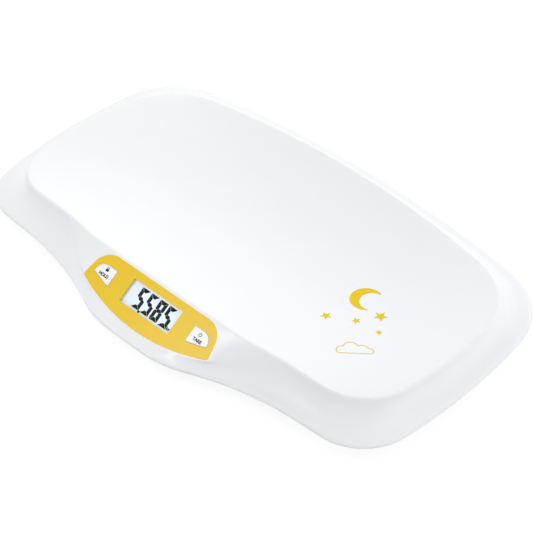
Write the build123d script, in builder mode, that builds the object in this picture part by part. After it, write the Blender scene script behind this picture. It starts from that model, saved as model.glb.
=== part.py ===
from build123d import *
import math
import os

# Digital baby weighing scale.
# +X runs along the long side, -Y is the display side, +Z is up.
# The origin lies under the middle of the scale on the plane it stands on. Millimetres.

# ---------------------------------------------------------------- tray shell
overall_length = 580.0
overall_width = 362.0
flange_end = 24.7            # flange width at the two short ends
flange_back = 29.0           # flange width behind the tray
flange_front = 24.5          # flange width beside the display bulge
bulge_depth = 40.0           # the display bulge stands out this far
rim_base = 15.5              # height of the rim's lower edge
front_corner = 62.0          # corner radii of the rim outline
back_corner = 85.0
side_bow = 6.0               # how far the short ends bow outwards
front_slope = 2.5            # degrees, front edge beside the bulge
back_slope = 9.5             # degrees, back edge where it meets its corners
corner_turn = 82.0           # degrees, heading at the end of each corner
shell_wall = 2.6
crest_radius = 2.5           # rounding of the crest
tray_shift = -6.85           # the tray's middle line from the middle between the crests
tray_reach = 2.25            # the side rise is counted this far beyond the crests
floor_height = 31.0          # lowest line of the tray
end_rise = 12.0              # rise of the floor towards the short ends
side_rise = 17.8             # mean rise towards the front and the back
front_lift = 6.8             # the front crest stands this much above the mean
rise_power = 2.5

# ---------------------------------------------------------------- display console
deck_tilt = 33.4             # degrees, slope of the display towards the front
deck_setback = 37.1          # middle of the display window behind the front rim
deck_z = 41.0
deck_proud = 0.4             # bezel face above the shell around it
bezel_thickness = 2.2
bezel_top_half = 82.5        # bezel outline on the deck
bezel_top = 22.3
bezel_tip_half = 89.5
bezel_tip = -12.0
bezel_bottom = -29.7
bezel_corner = 22.0
bezel_tip_radius = 2.5
bezel_bevel = 0.5
bezel_fit = 0.25
pad_margin = 1.2             # land around the bezel on the shell's face
seat_margin = 2.5            # solid shell around the bezel's recess
pad_depth = 10.0             # shell pad below the bezel's face
seat_thickness = 2.4
window_length = 69.4
window_width = 26.8
window_thickness = 1.2
window_lap = 3.0             # window plate behind the bezel on each side
window_fit = 0.5
window_corner = 1.0

# ---------------------------------------------------------------- keys and board
key_inner = 56.0             # fan-shaped key outline on the deck
key_outer = 79.6
key_top = 9.4
key_low_inner = -8.9
key_low_outer = -2.9
key_round = 11.0
key_corner = 1.2
key_bevel = 0.3
key_gap = 0.35
key_proud = 0.6
key_travel = 0.7
key_skirt = 1.6              # retaining skirt behind the bezel
key_skirt_height = 1.2
key_rest_gap = 0.3
plunger_x = 67.0
plunger_y = 1.0
plunger_radius = 2.2
board_depth = 8.6            # board face below the deck
board_length = 150.0
board_width = 40.0
board_thickness = 1.6
board_corner = 2.0
switch_size = 6.2
switch_height = 2.8
stem_radius = 1.6
stem_height = 1.2
stem_hidden = 0.8
stem_fit = 0.2
stem_end_gap = 0.3
glass_length = 72.0
glass_width = 31.0
glass_thickness = 2.2
glass_gap = 0.2
frame_wall = 3.8
glass_fit = 0.2
glass_seat_gap = 0.1
frame_gap = 0.2              # between the glass frame and the shell's seat
ledge = 2.0
strip_length = 62.0
strip_width = 2.2
strip_y = 12.0
post_x = 47.5
post_y = 16.0
post_radius = 3.0
board_screw_radius = 1.2
board_screw_head = 2.5
board_screw_head_height = 1.6
board_screw_length = 5.0
thread_fit = 0.05
hole_end_gap = 0.4
chip_length = 14.0
chip_width = 12.0
chip_height = 1.6
chip_x = -10.0
chip_y = 2.0
chip_corner = 3.0
chip_bevel = 0.8
header_length = 18.0
header_width = 5.0
header_height = 4.5
header_x = 24.0
header_y = -8.0

# ---------------------------------------------------------------- base, feet and load cells
foot_end_inset = 85.0        # middles of the feet from the rim lines
foot_front_inset = 56.0
foot_back_inset = 66.0
base_bottom = 6.0
base_plate = 2.5
base_inset = 16.5            # the base tucks in under the rim
base_turn_inset = 10.5
base_edge_inset = 0.7
base_wall_inset = 3.0
rim_gap = 0.4
lip_gap = 0.6
lip_wall = 2.0
lip_height = 2.8
rib_thickness = 1.8
rib_top = 11.2
rib_pitch = 35.0
rib_start = 60.0
rib_count = 4
long_ribs = (-60.0, 10.0, 90.0)
cell_size = 34.0
cell_thickness = 2.2
cell_window = 22.0
tongue_width = 10.0
tongue_end = 7.0
cell_ledge = 0.5
cell_fit = 0.5
bay_length = 50.0
bay_width = 42.0
bay_corner = 3.0
cell_corner = 2.0
gauge_length = 5.0           # potted strain gauge on the tongue
gauge_inset = 0.5
gauge_corner = 1.0
gauge_height = 1.0
cover_thickness = 2.2
cover_gap = 1.0
cell_screw_x = 21.2
cell_screw_radius = 1.15
cell_screw_head = 2.5
cell_screw_head_height = 1.8
cell_screw_end = 7.8
foot_radius = 17.0
foot_gap = 0.4
foot_bottom = 1.2
foot_edge = 2.0
foot_stem = 4.5
foot_pin = 1.9
pin_fit = 0.1
pin_end_gap = 0.3
stem_hole = 8.0
pad_radius = 14.3
pad_height = 2.5
pad_fit = 0.2
pad_bevel = 0.4
pad_groove = 0.6
groove_outer = 10.0
groove_inner = 8.0

# ---------------------------------------------------------------- battery bay and door
bay_y = 60.0
battery_radius = 5.25
battery_length = 43.5
battery_nub = 1.0
battery_nub_radius = 1.9
battery_bevel = 0.5
battery_gap = 0.5            # below the cells
contact_gap = 0.1
battery_pitch = 11.4
battery_count = 3
box_length = 52.0            # inside of the battery box
box_width = 36.0
box_wall = 1.8
box_roof = 20.6
door_length = 57.0
door_width = 40.0
door_thickness = 3.0
door_gap = 0.4
door_ledge = 2.0
door_pocket = 1.4
door_border = 2.0
door_seat_gap = 0.05
sill_end = 4.0               # wall of the door's surround
sill_side = 1.5
hinge_pin_radius = 0.8
hinge_pin_length = 2.0
hinge_pin_fit = 0.2
tongue_thickness = 1.2
latch_width = 10.0
latch_height = 2.2
latch_play = 0.5
notch_radius = 8.0
notch_depth = 1.2
contact_thickness = 0.5
contact_width = 8.0
contact_height = 7.0
spring_lead = 2.6            # lead-in of the leaf springs for the cells

# ---------------------------------------------------------------- housing screws
boss_radius = 4.2
boss_top = 12.2
housing_screw_radius = 1.5
housing_screw_head = 3.2
housing_screw_head_height = 2.2
housing_screw_length = 12.0
screw_recess = 0.4
screw_fit = 0.2
screw_end_gap = 1.0
end_boss_inset = 32.0        # housing screws from the rim lines
end_boss_y = 15.0
side_boss_x = 135.0
side_boss_inset = 33.0

half_length = overall_length / 2
rim_back = overall_width / 2
rim_front = -overall_width / 2
rim_front_side = rim_front + bulge_depth
crest_front = rim_front_side + flange_front
crest_back = rim_back - flange_back
tray_half_length = half_length - flange_end
tray_centre = (crest_front + crest_back) / 2 + tray_shift
tray_half_width = (crest_back - crest_front) / 2 + tray_reach
deck_y = rim_front + deck_setback
foot_x = half_length - foot_end_inset
foot_front = rim_front_side + foot_front_inset
foot_back = rim_back - foot_back_inset
boss_places = [
    (half_length - end_boss_inset, end_boss_y),
    (side_boss_x, rim_front_side + side_boss_inset),
    (side_boss_x, rim_back - side_boss_inset),
]
foot_places = [(-foot_x, foot_front), (foot_x, foot_front), (-foot_x, foot_back), (foot_x, foot_back)]
all_bosses = [(side * x, y) for x, y in boss_places for side in (-1, 1)]
deck = Plane(
    origin=(0, deck_y, deck_z),
    x_dir=(1, 0, 0),
    z_dir=(0, -math.sin(math.radians(deck_tilt)), math.cos(math.radians(deck_tilt))),
)
os.makedirs("parts", exist_ok=True)


def mix(rim, crest, share):
    """A value between the rim line (share 0) and the crest line (share 1)."""
    return rim + (crest - rim) * share


# ---------------------------------------------------------------- outlines of the shell
# Each level is a contour of the outer skin: its height above the rim's lower edge, its share
# of the way from rim to crest, the half-lengths of the bulge's flat front and of its convex
# turn, the straight shoulder between the bulge and the corner, and the bulge's front behind
# the front rim. The front of a level with no own value lies on the deck.
LEVELS = [
    (0.0, 0.06, 20.0, 74.0, 29.0, 1.5),
    (3.0, 0.00, 20.0, 74.0, 29.5, 0.0),
    (5.1, 0.04, 20.0, 75.0, 29.5, 0.9),
    (6.0, 0.11, 22.0, 77.0, 29.0, 3.0),
    (6.8, 0.24, 28.0, 82.0, 28.0, 7.0),
    (8.1, 0.42, 36.0, 87.0, 26.5, None),
    (10.5, 0.60, 47.0, 92.0, 25.5, None),
    (13.5, 0.76, 60.0, 98.0, 26.0, None),
    (16.0, 0.84, 70.0, 102.0, 27.0, None),
    (18.5, 0.895, 78.0, 106.0, 28.0, None),
    (42.5, 1.06, 87.0, 118.0, 39.5, None),
]


def deck_front(z):
    """Y of the shell's face on the console's slope at height z."""
    tilt = math.radians(deck_tilt)
    return deck_y + (z + deck_proud / math.cos(tilt) - deck_z) / math.tan(tilt)


def bulge_turn(depth, flat, convex, concave):
    """Angle of the two arcs that bring a bulge of this depth back to the front line."""
    slope = math.radians(front_slope)
    turn = 0.3
    for _ in range(30):
        reach = (convex - flat) * math.tan(turn / 2) + (concave - convex) * math.tan((turn + slope) / 2)
        rate = (convex - flat) / 2 / math.cos(turn / 2) ** 2
        rate += (concave - convex) / 2 / math.cos((turn + slope) / 2) ** 2
        turn -= (reach - depth) / rate
    return max(turn, slope + math.radians(0.5))


def contour(level, inset=0.0, drop=0.0, height=None):
    """Closed outline of the shell at one level, inset evenly and lowered."""
    rise, share, flat, convex, shoulder, setback = level
    z = rim_base + rise
    front = deck_front(z) if setback is None else rim_front + setback
    slope = math.radians(front_slope)
    side_turn = math.radians(corner_turn)
    back_turn = math.radians(back_slope)
    side_front = mix(rim_front_side, crest_front, share)
    end_x = mix(half_length, tray_half_length, share) - side_bow
    concave = end_x - front_corner * (math.sin(side_turn) - math.sin(slope)) - shoulder
    turn = bulge_turn(side_front - front, flat, convex, concave)
    convex_radius = (convex - flat) / math.sin(turn) - inset
    concave_radius = (concave - convex) / (math.sin(turn) - math.sin(slope)) + inset
    back_y = mix(rim_back, crest_back, share) - inset
    back_radius = (end_x - back_corner * (math.sin(side_turn) - math.sin(back_turn))) / math.sin(back_turn)
    with BuildSketch(Plane.XY.offset(z - drop if height is None else height)) as outline:
        with BuildLine():
            nose = Line((0, front + inset), (flat, front + inset))
            bulge = JernArc(nose @ 1, nose % 1, convex_radius, math.degrees(turn))
            waist = JernArc(bulge @ 1, bulge % 1, concave_radius, math.degrees(slope - turn))
            side = Line(waist @ 1, waist @ 1 + (waist % 1) * (shoulder / math.cos(slope)))
            corner = JernArc(side @ 1, side % 1, front_corner - inset, math.degrees(side_turn - slope))
            back = JernArc((0, back_y), (1, 0), back_radius - inset, -back_slope)
            turn_in = JernArc(back @ 1, back % 1, back_corner - inset, back_slope - corner_turn)
            end_middle = ((corner @ 1).Y + (turn_in @ 1).Y) / 2
            ThreePointArc(corner @ 1, (end_x + side_bow - inset, end_middle), turn_in @ 1)
            mirror(about=Plane.YZ)
        make_face()
    return outline.sketch


def tray_profile(x, drop):
    """Cross-section of the hollow above the tray's floor at one X."""
    share = min(1.15, abs(x) / tray_half_length) ** rise_power
    reach = 1.3
    points = []
    for across in (-reach, 0, reach):
        z = floor_height + end_rise * share + side_rise * (1 - share) * across**2
        z -= front_lift * across + drop
        points.append((tray_centre + tray_half_width * across, z))
    roof = floor_height + 70
    with BuildSketch(Plane.YZ.offset(x)) as profile:
        with BuildLine():
            ThreePointArc(*points)
            Polyline(points[2], (points[2][0], roof), (points[0][0], roof), points[0])
        make_face()
    return profile.sketch


def tray_hollow(drop):
    reach = half_length + 10
    return [tray_profile(reach * step / 5, drop) for step in range(-5, 6)]


def bezel_outline(plane, grow):
    """Boat-shaped outline of the display bezel."""
    with BuildSketch(plane) as outline:
        with BuildLine():
            Polyline((-bezel_tip_half, bezel_tip), (-bezel_top_half, bezel_top),
                     (bezel_top_half, bezel_top), (bezel_tip_half, bezel_tip))
            ThreePointArc((bezel_tip_half, bezel_tip), (0, bezel_bottom), (-bezel_tip_half, bezel_tip))
        make_face()
        fillet([v for v in outline.vertices() if v.Y > 0], bezel_corner)
        fillet([v for v in outline.vertices() if v.Y < bezel_tip + 1], bezel_tip_radius)
        if grow:
            offset(amount=grow)
    return outline.sketch


def key_outline(plane, side, grow):
    """Fan-shaped outline of a key; side is -1 for the left key and 1 for the right one."""
    with BuildSketch(plane) as outline:
        with BuildLine():
            Polyline((side * key_inner, key_low_inner), (side * key_inner, key_top),
                     (side * key_outer, key_top), (side * key_outer, key_low_outer), close=True)
        make_face()
        outer_top = outline.vertices().sort_by_distance((side * key_outer, key_top))[0]
        fillet(outer_top, key_round)
        for x, y in ((key_inner, key_low_inner), (key_inner, key_top), (key_outer, key_low_outer)):
            fillet(outline.vertices().sort_by_distance((side * x, y))[0], key_corner)
        if grow:
            offset(amount=grow)
    return outline.sketch


# ---------------------------------------------------------------- tray shell
seat_level = -bezel_thickness
seat_back = seat_level - seat_thickness
skirt_top = seat_level - key_rest_gap
skirt_back = skirt_top - key_skirt_height
stem_top = -board_depth + switch_height + stem_height
post_places = [(side * post_x, y) for side in (-1, 1) for y in (-post_y, post_y)]

with BuildPart() as cavity:
    inner_levels = [contour(level, shell_wall, shell_wall) for level in LEVELS[4::2]]
    inner_levels.insert(0, contour(LEVELS[2], shell_wall, shell_wall))
    inner_levels.insert(0, contour(LEVELS[0], shell_wall))
    inner_levels.insert(0, contour(LEVELS[0], shell_wall, height=rim_base - shell_wall))
    loft(inner_levels, ruled=True)
    loft(tray_hollow(shell_wall), mode=Mode.SUBTRACT)
    extrude(bezel_outline(deck.offset(seat_back), seat_margin), amount=40, mode=Mode.SUBTRACT)
    with BuildSketch(Plane.XY.offset(boss_top)):
        with Locations(*all_bosses):
            Circle(boss_radius)
    extrude(amount=60, mode=Mode.SUBTRACT)
    with BuildSketch(deck.offset(-board_depth)):
        with Locations(*post_places):
            Circle(post_radius)
    extrude(amount=board_depth, mode=Mode.SUBTRACT)

with BuildPart() as tray_shell:
    loft([contour(level) for level in LEVELS], ruled=True)
    loft(tray_hollow(0), mode=Mode.SUBTRACT)
    tray_face = tray_shell.faces().filter_by(GeomType.PLANE, reverse=True).sort_by(SortBy.AREA)[-1]
    fillet(tray_face.edges(), crest_radius)
    extrude(bezel_outline(deck.offset(-pad_depth), pad_margin), amount=pad_depth - deck_proud)
    extrude(bezel_outline(deck.offset(-deck_proud), pad_margin), amount=40, mode=Mode.SUBTRACT)
    extrude(bezel_outline(deck.offset(seat_level), bezel_fit), amount=10, mode=Mode.SUBTRACT)
    add(cavity.part, mode=Mode.SUBTRACT)
    with BuildSketch(deck.offset(seat_back - 1)):
        Rectangle(window_length + 2 * (window_lap + window_fit), window_width + 2 * (window_lap + window_fit))
    extrude(amount=seat_thickness + 2, mode=Mode.SUBTRACT)
    for side in (-1, 1):
        extrude(key_outline(deck.offset(seat_back - 1), side, key_skirt + window_fit),
                amount=seat_thickness + 2, mode=Mode.SUBTRACT)
    with BuildSketch(deck.offset(-board_depth)):
        with Locations(*post_places):
            Circle(board_screw_radius + thread_fit)
    extrude(amount=board_screw_length - board_thickness + hole_end_gap, mode=Mode.SUBTRACT)
    with BuildSketch(Plane.XY.offset(boss_top)):
        with Locations(*all_bosses):
            Circle(housing_screw_radius + thread_fit)
    extrude(amount=housing_screw_length, mode=Mode.SUBTRACT)
tray_shell.part.label = "tray_shell"
export_step(tray_shell.part, "parts/tray_shell.step")


# ---------------------------------------------------------------- display
with BuildPart() as display_bezel:
    extrude(bezel_outline(deck.offset(seat_level), 0), amount=bezel_thickness)
    chamfer(display_bezel.faces().sort_by(Axis((0, 0, 0), deck.z_dir))[-1].edges(), bezel_bevel)
    with BuildSketch(deck.offset(seat_level - 1)):
        Rectangle(window_length, window_width)
    extrude(amount=bezel_thickness + 2, mode=Mode.SUBTRACT)
    for side in (-1, 1):
        extrude(key_outline(deck.offset(seat_level - 1), side, key_gap), amount=bezel_thickness + 2,
                mode=Mode.SUBTRACT)
display_bezel.part.label = "display_bezel"
export_step(display_bezel.part, "parts/display_bezel.step")

window_back = seat_level - window_thickness
with BuildPart() as lcd_window:
    with BuildSketch(deck.offset(window_back)):
        RectangleRounded(window_length + 2 * window_lap, window_width + 2 * window_lap, window_corner)
    extrude(amount=window_thickness)
lcd_window.part.label = "lcd_window"
export_step(lcd_window.part, "parts/lcd_window.step")

glass_back = window_back - glass_gap - glass_thickness
with BuildPart() as lcd_glass:
    with BuildSketch(deck.offset(glass_back)):
        Rectangle(glass_length, glass_width)
    extrude(amount=glass_thickness)
lcd_glass.part.label = "lcd_glass"
export_step(lcd_glass.part, "parts/lcd_glass.step")

with BuildPart() as lcd_frame:
    with BuildSketch(deck.offset(-board_depth)):
        Rectangle(glass_length + 2 * frame_wall, glass_width + 2 * frame_wall)
    extrude(amount=board_depth + seat_back - frame_gap)
    with BuildSketch(deck.offset(glass_back - glass_seat_gap)):
        Rectangle(glass_length + 2 * glass_fit, glass_width + 2 * glass_fit)
    extrude(amount=glass_thickness * 2, mode=Mode.SUBTRACT)
    with BuildSketch(deck.offset(-board_depth - 1)):
        Rectangle(glass_length - 2 * ledge, glass_width - 2 * ledge)
    extrude(amount=board_depth, mode=Mode.SUBTRACT)
lcd_frame.part.label = "lcd_frame"
export_step(lcd_frame.part, "parts/lcd_frame.step")

with BuildPart() as lcd_connector:
    with BuildSketch(deck.offset(-board_depth)):
        with Locations((0, strip_y)):
            Rectangle(strip_length, strip_width)
    extrude(amount=board_depth + glass_back)
lcd_connector.part.label = "lcd_connector"
export_step(lcd_connector.part, "parts/lcd_connector.step")

# ---------------------------------------------------------------- board and what is on it
board_back = -board_depth - board_thickness
with BuildPart() as main_board:
    with BuildSketch(deck.offset(board_back)):
        RectangleRounded(board_length, board_width, board_corner)
        with Locations(*post_places):
            Circle(board_screw_radius + screw_fit, mode=Mode.SUBTRACT)
    extrude(amount=board_thickness)
main_board.part.label = "main_board"
export_step(main_board.part, "parts/main_board.step")

with BuildPart() as controller_chip:
    with BuildSketch(deck.offset(board_back - chip_height)):
        with Locations((chip_x, chip_y)):
            RectangleRounded(chip_length, chip_width, chip_corner)
    extrude(amount=chip_height)
    lower = controller_chip.faces().sort_by(Axis((0, 0, 0), deck.z_dir))[0]
    chamfer(lower.edges(), chip_bevel)
controller_chip.part.label = "controller_chip"
export_step(controller_chip.part, "parts/controller_chip.step")

with BuildPart() as lead_header:
    with BuildSketch(deck.offset(board_back - header_height)):
        with Locations((header_x, header_y)):
            Rectangle(header_length, header_width)
    extrude(amount=header_height)
lead_header.part.label = "lead_header"
export_step(lead_header.part, "parts/lead_header.step")

with BuildPart() as board_screws:
    with BuildSketch(deck.offset(board_back - board_screw_head_height)):
        with Locations(*post_places):
            Circle(board_screw_head)
    extrude(amount=board_screw_head_height)
    with BuildSketch(deck.offset(board_back)):
        with Locations(*post_places):
            Circle(board_screw_radius)
    extrude(amount=board_screw_length)
board_screws.part.label = "board_screws"
export_step(board_screws.part, "parts/board_screws.step")

for side, name in ((-1, "hold"), (1, "tare")):
    with BuildPart() as button:
        extrude(key_outline(deck.offset(skirt_back), side, 0), amount=key_proud - skirt_back)
        chamfer(button.faces().sort_by(Axis((0, 0, 0), deck.z_dir))[-1].edges(), key_bevel)
        extrude(key_outline(deck.offset(skirt_back), side, key_skirt), amount=key_skirt_height)
        with BuildSketch(deck.offset(stem_top)):
            with Locations((side * plunger_x, plunger_y)):
                Circle(plunger_radius)
        extrude(amount=skirt_back - stem_top)
    button.part.label = f"{name}_button"
    export_step(button.part, f"parts/{name}_button.step")

    with BuildPart() as switch:
        with BuildSketch(deck.offset(-board_depth)):
            with Locations((side * plunger_x, plunger_y)):
                Rectangle(switch_size, switch_size)
        extrude(amount=switch_height)
        with BuildSketch(deck.offset(-board_depth + switch_height)):
            with Locations((side * plunger_x, plunger_y)):
                Circle(stem_radius + stem_fit)
        extrude(amount=-(stem_hidden + key_travel + stem_end_gap), mode=Mode.SUBTRACT)
    switch.part.label = f"{name}_switch"
    export_step(switch.part, f"parts/{name}_switch.step")

    with BuildPart() as stem:
        with BuildSketch(deck.offset(stem_top - stem_height - stem_hidden)):
            with Locations((side * plunger_x, plunger_y)):
                Circle(stem_radius)
        extrude(amount=stem_height + stem_hidden)
    stem.part.label = f"{name}_switch_stem"
    export_step(stem.part, f"parts/{name}_switch_stem.step")

# ---------------------------------------------------------------- base shell
cell_floor = base_bottom + base_plate + cell_ledge
cell_top = cell_floor + cell_thickness
plate_top = base_bottom + base_plate
lip_inset = shell_wall + lip_gap
rim_line = rim_base - rim_gap
bay_floor = base_bottom + door_thickness + door_seat_gap
box_top = box_roof + box_wall
bay = Plane.XY.offset(base_bottom)
door_play = door_length + 2 * door_gap
hinge_x = -door_length / 2 + door_thickness / 2
hinge_z = base_bottom + door_thickness / 2

with BuildPart() as base_hollow:
    loft([contour(LEVELS[0], base_turn_inset + base_wall_inset, height=plate_top),
          contour(LEVELS[0], lip_inset + lip_wall, height=rim_line)], ruled=True)
    extrude(contour(LEVELS[0], lip_inset + lip_wall, height=rim_line), amount=20)
    with BuildSketch(Plane.XY.offset(plate_top)):
        for number in range(rib_count):
            with Locations((-rib_start - number * rib_pitch, 0), (rib_start + number * rib_pitch, 0)):
                Rectangle(rib_thickness, overall_width)
        for y in long_ribs:
            with Locations((0, y)):
                Rectangle(overall_length, rib_thickness)
    extrude(amount=rib_top - plate_top, mode=Mode.SUBTRACT)
    with BuildSketch(Plane.XY.offset(plate_top)):
        with Locations(*foot_places):
            RectangleRounded(bay_length, bay_width, bay_corner)
    extrude(amount=cell_top - plate_top, mode=Mode.SUBTRACT)
    with BuildSketch(Plane.XY.offset(plate_top)):
        with Locations(*all_bosses):
            Circle(boss_radius)
    extrude(amount=boss_top - plate_top, mode=Mode.SUBTRACT)
    with BuildSketch(Plane.XY.offset(plate_top)):
        with Locations((0, bay_y)):
            Rectangle(door_play + 2 * door_ledge + sill_end,
                      door_width + 2 * (door_gap + hinge_pin_length + sill_side))
    extrude(amount=bay_floor + door_ledge - plate_top, mode=Mode.SUBTRACT)
    with BuildSketch(Plane.XY.offset(plate_top)):
        with Locations((0, bay_y)):
            Rectangle(box_length + 2 * box_wall, box_width + 2 * box_wall)
    extrude(amount=box_top - plate_top, mode=Mode.SUBTRACT)

with BuildPart() as base_shell:
    loft([contour(LEVELS[0], base_inset, height=base_bottom),
          contour(LEVELS[0], base_turn_inset, height=plate_top),
          contour(LEVELS[0], base_edge_inset, height=rim_line)], ruled=True)
    extrude(contour(LEVELS[0], lip_inset, height=rim_line), amount=lip_height)
    with BuildSketch(Plane.XY.offset(rim_line)):
        with Locations((0, bay_y)):
            Rectangle(box_length + 2 * box_wall, box_width + 2 * box_wall)
    extrude(amount=box_top - rim_line)
    add(base_hollow.part, mode=Mode.SUBTRACT)
    with BuildSketch(Plane.XY.offset(cell_floor)):
        with Locations(*foot_places):
            Rectangle(cell_size + 2 * cell_fit, cell_size + 2 * cell_fit)
    extrude(amount=20, mode=Mode.SUBTRACT)
    with BuildSketch(Plane.XY.offset(plate_top)):
        with Locations(*foot_places):
            Rectangle(cell_window, cell_window)
    extrude(amount=20, mode=Mode.SUBTRACT)
    with BuildSketch(Plane.XY.offset(base_bottom)):
        with Locations(*foot_places):
            Circle(stem_hole)
    extrude(amount=base_plate + 1, mode=Mode.SUBTRACT)
    with BuildSketch(Plane.XY.offset(cell_screw_end - hole_end_gap)):
        for x, y in foot_places:
            with Locations((x - cell_screw_x, y), (x + cell_screw_x, y)):
                Circle(cell_screw_radius + thread_fit)
    extrude(amount=10, mode=Mode.SUBTRACT)
    with BuildSketch(bay):
        with Locations(*all_bosses):
            Circle(housing_screw_radius + screw_fit)
    extrude(amount=20, mode=Mode.SUBTRACT)
    with BuildSketch(bay):
        with Locations(*all_bosses):
            Circle(housing_screw_head + screw_fit)
    extrude(amount=screw_recess + housing_screw_head_height, mode=Mode.SUBTRACT)
    with BuildSketch(bay):
        with Locations((0, bay_y)):
            Rectangle(door_play, door_width + 2 * door_gap)
    extrude(amount=bay_floor - base_bottom, mode=Mode.SUBTRACT)
    with BuildSketch(bay):
        with Locations((0, bay_y)):
            Rectangle(box_length, box_width)
    extrude(amount=box_roof - base_bottom, mode=Mode.SUBTRACT)
    with BuildSketch(Plane.XZ.offset(-bay_y)):
        with Locations((hinge_x, hinge_z)):
            Circle(hinge_pin_radius + hinge_pin_fit)
    extrude(amount=door_width / 2 + hinge_pin_length + hinge_pin_fit, both=True, mode=Mode.SUBTRACT)
    with BuildSketch(bay):
        with Locations((door_length / 2 - tongue_thickness, bay_y)):
            Rectangle(tongue_thickness + 2 * latch_play, latch_width + 2 * latch_play)
    extrude(amount=20, mode=Mode.SUBTRACT)
    with BuildSketch(bay):
        with Locations((door_play / 2, bay_y)):
            Circle(notch_radius)
    extrude(amount=notch_depth, mode=Mode.SUBTRACT)
base_shell.part.label = "base_shell"
export_step(base_shell.part, "parts/base_shell.step")

# ---------------------------------------------------------------- battery door, cells and contacts
with BuildPart() as battery_door:
    with BuildSketch(Plane.XZ.offset(-bay_y)):
        with Locations((hinge_x, hinge_z)):
            Circle(door_thickness / 2)
        with Locations((door_thickness / 4, hinge_z)):
            Rectangle(door_length - door_thickness / 2, door_thickness)
    extrude(amount=door_width / 2, both=True)
    with BuildSketch(Plane.XY.offset(base_bottom + door_thickness - door_pocket)):
        with Locations((0, bay_y)):
            Rectangle(box_length - 2 * door_border, box_width - 2 * door_border)
    extrude(amount=door_pocket, mode=Mode.SUBTRACT)
    with BuildSketch(Plane.XZ.offset(-bay_y)):
        with Locations((hinge_x, hinge_z)):
            Circle(hinge_pin_radius)
    extrude(amount=door_width / 2 + hinge_pin_length, both=True)
    with BuildSketch(Plane.XY.offset(base_bottom + door_thickness)):
        with Locations((door_length / 2 - tongue_thickness, bay_y)):
            Rectangle(tongue_thickness, latch_width)
    extrude(amount=latch_height)
battery_door.part.label = "battery_door"
export_step(battery_door.part, "parts/battery_door.step")

battery_z = bay_floor + battery_radius + battery_gap
contact_face = box_length / 2 - contact_thickness
battery_end = contact_face - contact_gap - battery_nub
for number in range(battery_count):
    across = bay_y + (number - (battery_count - 1) / 2) * battery_pitch
    with BuildPart() as battery:
        with BuildSketch(Plane.YZ.offset(battery_end - battery_length)):
            with Locations((across, battery_z)):
                Circle(battery_radius)
        extrude(amount=battery_length)
        chamfer(battery.edges().filter_by(GeomType.CIRCLE), battery_bevel)
        with BuildSketch(Plane.YZ.offset(battery_end)):
            with Locations((across, battery_z)):
                Circle(battery_nub_radius)
        extrude(amount=battery_nub)
    battery.part.label = f"battery_{number + 1}"
    export_step(battery.part, f"parts/battery_{number + 1}.step")

battery_rows = [bay_y + (n - (battery_count - 1) / 2) * battery_pitch for n in range(battery_count)]
with BuildPart() as battery_contacts:
    with BuildSketch(Plane.YZ.offset(contact_face)):
        with Locations(*[(y, battery_z) for y in battery_rows]):
            Rectangle(contact_width, contact_height)
    extrude(amount=contact_thickness)
battery_contacts.part.label = "battery_contacts"
export_step(battery_contacts.part, "parts/battery_contacts.step")

spring_foot = (contact_thickness - box_length) / 2
spring_tip = battery_end - battery_length - contact_gap - contact_thickness / 2
with BuildPart() as battery_springs:
    for y in battery_rows:
        with BuildSketch(Plane.XZ.offset(-y)):
            with BuildLine():
                leaf = Polyline((spring_foot, battery_z - contact_height / 2),
                                (spring_foot, battery_z + contact_height / 2),
                                (spring_tip, battery_z),
                                (spring_tip - spring_lead, battery_z - contact_height / 2))
                offset(leaf, amount=contact_thickness / 2, side=Side.BOTH)
            make_face()
        extrude(amount=contact_width / 2, both=True)
battery_springs.part.label = "battery_springs"
export_step(battery_springs.part, "parts/battery_springs.step")

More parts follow.
